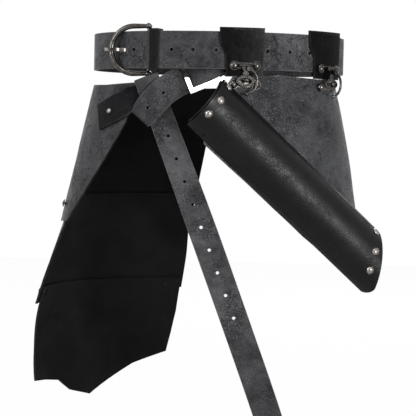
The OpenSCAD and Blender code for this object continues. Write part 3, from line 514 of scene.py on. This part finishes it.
# longest: longest mesh edge in metres; rounds: smoothing; broad: least share of area that is a face and not a rim
liningTop = guardPlace["shell"] + guardPlace["gap"]
shellRadii = [(guardRadius - d) * 0.001 for d in (0, guardPlace["shell"])]
liningRadii = [(guardRadius - d) * 0.001 for d in (liningTop, liningTop + guardPlace["lining"])]
leatherPieces = {
    "waist_belt": {"face": grain["belt"], "longest": 0.006, "rounds": 4, "broad": 0.05},
    "belt_keeper": {"face": grain["hanger"], "longest": 0.006, "rounds": 0, "broad": 0.5},
    "front_hanger": {"face": grain["hanger"], "longest": 0.005, "rounds": 3, "broad": 0.3},
    "side_hanger": {"face": grain["hanger"], "longest": 0.005, "rounds": 3, "broad": 0.3},
    "right_hip_panel": {"face": grain["panel"], "flesh": innerSkin, "longest": 0.0042, "wave": 0.0005},
    "left_hip_panel": {"face": grain["panel"], "flesh": innerSkin, "longest": 0.0042, "wave": 0.0005},
    "middle_lame": {"face": grain["panel"], "flesh": innerSkin, "longest": 0.0045, "wave": 0.0004, "shadedTopEdges": True},
    "lower_lame": {"face": grain["panel"], "flesh": innerSkin, "longest": 0.0045, "wave": 0.0004, "shadedTopEdges": True},
    "guard_shell": {"face": grain["guard"], "flesh": innerSkin, "longest": 0.011, "rounds": 0,
                    "outward": fromSpine, "radii": shellRadii},
    "guard_lining": {"face": grain["hanger"], "flesh": innerSkin, "longest": 0.016, "rounds": 0,
                     "outward": fromSpine, "radii": liningRadii},
    "short_tie_strap": {"face": grain["tab"], "rounds": 6, "broad": 0.3, "wave": 0.0002, "angle": foldAngle},
    "long_tie_strap": {"face": grain["strap"], "rounds": 6, "broad": 0.3, "wave": 0.0002, "angle": foldAngle},
}
for name, look in leatherPieces.items():
    dressLeather(name, **look)

for name in ("buckle_frame", "buckle_bar", "buckle_prong", "front_upper_plate", "front_hasp", "front_swing_arm",
             "front_lower_plate", "side_upper_plate", "side_hasp", "side_swing_arm", "side_lower_plate",
             "chape_rivets", "long_strap_rivets"):
    dressMetal(name, gunmetal)
for name in ("back_seam_rivets", "middle_lame_rivets", "lower_lame_rivets"):
    dressMetal(name, gunmetal, paintedShadeBlack)
dressMetal("guard_corner_rivet", paintedShadeBlack)
for name in ("guard_top_rivets", "guard_bottom_rivets", "short_strap_rivet"):
    dressMetal(name, paleRivet)
dressMetal("slide_buckle", brightNickel)
print("metal made")


# what repeats: stitches and the pressed rings round the rivets
def pointsObject(name, places, aims, alongs):
    mesh = bpy.data.meshes.new(name)
    mesh.from_pydata([tuple(p) for p in places], [], [])
    for key, rows in (("aim", aims), ("along", alongs)):
        layer = mesh.attributes.new(key, "FLOAT_VECTOR", "POINT")
        layer.data.foreach_set("vector", [c for row in rows for c in row])
    made = bpy.data.objects.new(name, mesh)
    scene.collection.objects.link(made)
    return made


def repeatTree(name, kind):                   # one stitch or ring on each point, turned by aim and along
    tree = bpy.data.node_groups.new(name, "GeometryNodeTree")
    tree.interface.new_socket("Geometry", in_out="INPUT", socket_type="NodeSocketGeometry")
    tree.interface.new_socket("Length", in_out="INPUT", socket_type="NodeSocketFloat")
    tree.interface.new_socket("Thickness", in_out="INPUT", socket_type="NodeSocketFloat")
    tree.interface.new_socket("Finish", in_out="INPUT", socket_type="NodeSocketMaterial")
    tree.interface.new_socket("Geometry", in_out="OUTPUT", socket_type="NodeSocketGeometry")
    start = tree.nodes.new("NodeGroupInput")
    end = tree.nodes.new("NodeGroupOutput")
    if kind == "stitch":
        ball = addNode(tree, "GeometryNodeMeshUVSphere", {"Segments": 8, "Rings": 6, "Radius": 1.0})
        size = addNode(tree, "ShaderNodeCombineXYZ", {"X": start.outputs["Length"], "Y": start.outputs["Thickness"],
                                                      "Z": start.outputs["Thickness"]})
        shape = addNode(tree, "GeometryNodeTransform", {"Geometry": ball.outputs[0], "Scale": size.outputs[0]})
        unit = shape.outputs[0]
    else:
        circle = "GeometryNodeCurvePrimitiveCircle"
        loop = addNode(tree, circle, {"Resolution": 32, "Radius": start.outputs["Length"]})
        bead = addNode(tree, circle, {"Resolution": 8, "Radius": start.outputs["Thickness"]})
        tube = addNode(tree, "GeometryNodeCurveToMesh", {"Curve": loop.outputs[0], "Profile Curve": bead.outputs[0]})
        unit = tube.outputs[0]
    aim = addNode(tree, "GeometryNodeInputNamedAttribute", {"Name": "aim"}, data_type="FLOAT_VECTOR").outputs[0]
    along = addNode(tree, "GeometryNodeInputNamedAttribute", {"Name": "along"}, data_type="FLOAT_VECTOR").outputs[0]
    first = addNode(tree, "FunctionNodeAlignRotationToVector", {"Vector": aim}, axis="Z")
    second = addNode(tree, "FunctionNodeAlignRotationToVector", {"Rotation": first.outputs[0], "Vector": along},
                     axis="X", pivot_axis="Z")
    copies = addNode(tree, "GeometryNodeInstanceOnPoints", {"Points": start.outputs["Geometry"], "Instance": unit,
                                                            "Rotation": second.outputs[0]})
    real = addNode(tree, "GeometryNodeRealizeInstances", {"Geometry": copies.outputs[0]})
    soft = addNode(tree, "GeometryNodeSetShadeSmooth", {"Geometry": real.outputs[0]})
    done = addNode(tree, "GeometryNodeSetMaterial", {"Geometry": soft.outputs[0],
                                                     "Material": start.outputs["Finish"]})
    tree.links.new(done.outputs[0], end.inputs[0])
    return tree


stitchTree = repeatTree("stitchRun", "stitch")
ringTree = repeatTree("rivetRing", "ring")


def repeated(name, tree, places, aims, alongs, length, thickness, finish, body):
    seed = pointsObject(name + "Seed", places, aims, alongs)
    modifier = seed.modifiers.new("repeat", "NODES")
    modifier.node_group = tree
    values = {"Length": length, "Thickness": thickness, "Finish": finish}
    for item in tree.interface.items_tree:
        if item.item_type == "SOCKET" and item.in_out == "INPUT" and item.name in values:
            modifier[item.identifier] = values[item.name]
    bpy.context.view_layer.update()
    evaluated = seed.evaluated_get(bpy.context.evaluated_depsgraph_get())
    mesh = bpy.data.meshes.new_from_object(evaluated)
    piece = bpy.data.objects.new(name, mesh)
    scene.collection.objects.link(piece)
    bpy.data.objects.remove(seed)
    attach(piece, body)


def rivetSpots(nodeName, minimum):            # widest ring of each outer head, and the way it faces
    bm = mergedMesh(nodeName)
    bm.verts.ensure_lookup_table()
    seen, spots = set(), []
    for start in bm.verts:
        if start in seen:
            continue
        stack, island = [start], []
        seen.add(start)
        while stack:
            v = stack.pop()
            island.append(v.co.copy())
            for e in v.link_edges:
                w = e.other_vert(v)
                if w not in seen:
                    seen.add(w)
                    stack.append(w)
        cloud = np.array(island)
        mid = cloud.mean(0)
        values, axes = np.linalg.eigh(np.cov((cloud - mid).T))
        gaps = [abs(values[1] - values[2]), abs(values[0] - values[2]), abs(values[0] - values[1])]
        axis = axes[:, int(np.argmin(gaps))]
        far = (cloud - mid) @ axis
        wide = np.linalg.norm((cloud - mid) - np.outer(far, axis), axis=1)
        rings = far[wide > 0.97 * wide.max()]
        heading = axis if mid @ axis > 0 else -axis
        level = rings.max() if heading @ axis > 0 else rings.min()
        if wide.max() >= minimum:
            spots.append((Vector(mid + axis * level), Vector(heading), float(wide.max())))
    bm.free()
    return spots


stitchLook = {"pitch": 4.2, "length": 0.0015, "thickness": 0.00042, "inset": 4.5, "end": 26.0, "proud": 0.0001}


def guardStitches(name, edge):
    places, aims, alongs = [], [], []
    z = edge * (guardPlace["half"] - stitchLook["inset"])
    lift = math.asin(z / guardRadius)
    x = stitchLook["end"]
    while x < guardPlace["length"] - 0.5 * z - stitchLook["end"]:
        local = Vector((x, guardRadius - guardPlace["rise"] - guardRadius * math.cos(lift), z)) * 0.001
        out = guardFrame.to_3x3() @ Vector((0, -math.cos(lift), math.sin(lift)))
        places.append(guardFrame @ local + out * stitchLook["proud"])
        aims.append(out)
        alongs.append(guardRun)
        x += stitchLook["pitch"]
    repeated(name, stitchTree, places, aims, alongs, stitchLook["length"], stitchLook["thickness"], blackThread,
             "harness")


guardStitches("guard_upper_stitches", 1)
guardStitches("guard_lower_stitches", -1)
ringLook = {"bead": 0.00045, "grow": 0.0004, "smallestHead": 0.002}
for node in ("guard_top_rivets", "guard_bottom_rivets", "short_strap_rivet", "middle_lame_rivets",
             "lower_lame_rivets", "back_seam_rivets"):
    spots = rivetSpots(node, ringLook["smallestHead"])
    if spots:
        repeated(node + "_rings", ringTree, [s[0] for s in spots], [s[1] for s in spots],
                 [s[1].orthogonal() for s in spots], spots[0][2] + ringLook["grow"], ringLook["bead"], gunmetal,
                 bodyOf[node])
print("repeats made")

# floor, light and camera
def seenRays(tree):                           # rays that see the white background
    path = tree.nodes.new("ShaderNodeLightPath")
    return mathNode(tree, "MAXIMUM", path.outputs["Is Camera Ray"],
                    mathNode(tree, "MAXIMUM", path.outputs["Is Glossy Ray"], path.outputs["Is Transmission Ray"]))


floorLook = {"level": -0.60, "size": 6.0, "glow": 0.97, "colour": (0.8, 0.8, 0.8, 1)}
floorMesh = bpy.data.meshes.new("floor")
half = floorLook["size"] / 2
floorMesh.from_pydata([(-half, -half, floorLook["level"]), (half, -half, floorLook["level"]),
                       (half, half, floorLook["level"]), (-half, half, floorLook["level"])], [], [(0, 1, 2, 3)])
floor = bpy.data.objects.new("floor", floorMesh)
scene.collection.objects.link(floor)
floorMat = bpy.data.materials.new("paleFloor")
floorMat.use_nodes = True
tree = floorMat.node_tree
tree.nodes.clear()
out = tree.nodes.new("ShaderNodeOutputMaterial")
seen = seenRays(tree)
plain = addNode(tree, "ShaderNodeBsdfDiffuse", {"Color": floorLook["colour"]})
glow = addNode(tree, "ShaderNodeEmission", {"Color": (1, 1, 1, 1), "Strength": 1.0})
mixed = addNode(tree, "ShaderNodeMixShader", {0: mathNode(tree, "MULTIPLY", seen, floorLook["glow"]),
                                              1: plain.outputs[0], 2: glow.outputs[0]})
tree.links.new(mixed.outputs[0], out.inputs[0])
floorMesh.materials.append(floorMat)

ambientLevel = 0.15
world = bpy.data.worlds.new("studio")
scene.world = world
world.use_nodes = True
tree = world.node_tree
tree.nodes.clear()
out = tree.nodes.new("ShaderNodeOutputWorld")
seen = seenRays(tree)
ambient = addNode(tree, "ShaderNodeBackground", {"Color": (1, 1, 1, 1), "Strength": ambientLevel})
white = addNode(tree, "ShaderNodeBackground", {"Color": (1, 1, 1, 1), "Strength": 1.0})
mixed = addNode(tree, "ShaderNodeMixShader", {0: seen, 1: ambient.outputs[0], 2: white.outputs[0]})
tree.links.new(mixed.outputs[0], out.inputs[0])


lamps = {                                     # place, size and watts
    "leftLamp": {"place": (-1.9, -1.3, 0.5), "size": (0.6, 1.3), "power": 31},
    "rightLamp": {"place": (1.4, -2.0, -0.05), "size": (0.7, 1.0), "power": 54},
    "backLamp": {"place": (0.5, 2.2, 0.9), "size": (1.0, 1.0), "power": 34},
    "topLamp": {"place": (-0.3, -1.3, 1.6), "size": (1.1, 0.7), "power": 11},
}
lampTarget = Vector((0, 0, -0.2))
for name, look in lamps.items():
    lamp = bpy.data.lights.new(name, "AREA")
    lamp.shape = "RECTANGLE"
    lamp.size, lamp.size_y = look["size"]
    lamp.energy = look["power"]
    made = bpy.data.objects.new(name, lamp)
    made.location = look["place"]
    made.rotation_euler = (lampTarget - Vector(look["place"])).to_track_quat("-Z", "Y").to_euler()
    scene.collection.objects.link(made)

cameraLook = {"focal": 1304.0, "frame": 416, "place": (-0.0109, -1.865, -0.1049), "down": 3.467, "roll": 1.2}
lens = bpy.data.cameras.new("photoCamera")
lens.sensor_width = 36
lens.lens = 36 * cameraLook["focal"] / cameraLook["frame"]
camera = bpy.data.objects.new("photoCamera", lens)
scene.collection.objects.link(camera)
down, roll = math.radians(cameraLook["down"]), math.radians(cameraLook["roll"])
forward = Vector((0, math.cos(down), -math.sin(down)))
upright = Vector((0, math.sin(down), math.cos(down)))
right = Vector((1, 0, 0)) * math.cos(roll) + upright * math.sin(roll)
upward = upright * math.cos(roll) - Vector((1, 0, 0)) * math.sin(roll)
turn = Matrix((right, upward, -forward)).transposed().to_4x4()
turn.translation = Vector(cameraLook["place"])
camera.matrix_world = turn
scene.camera = camera
scene.view_settings.view_transform = "Standard"
print("stage, lamps and camera made")
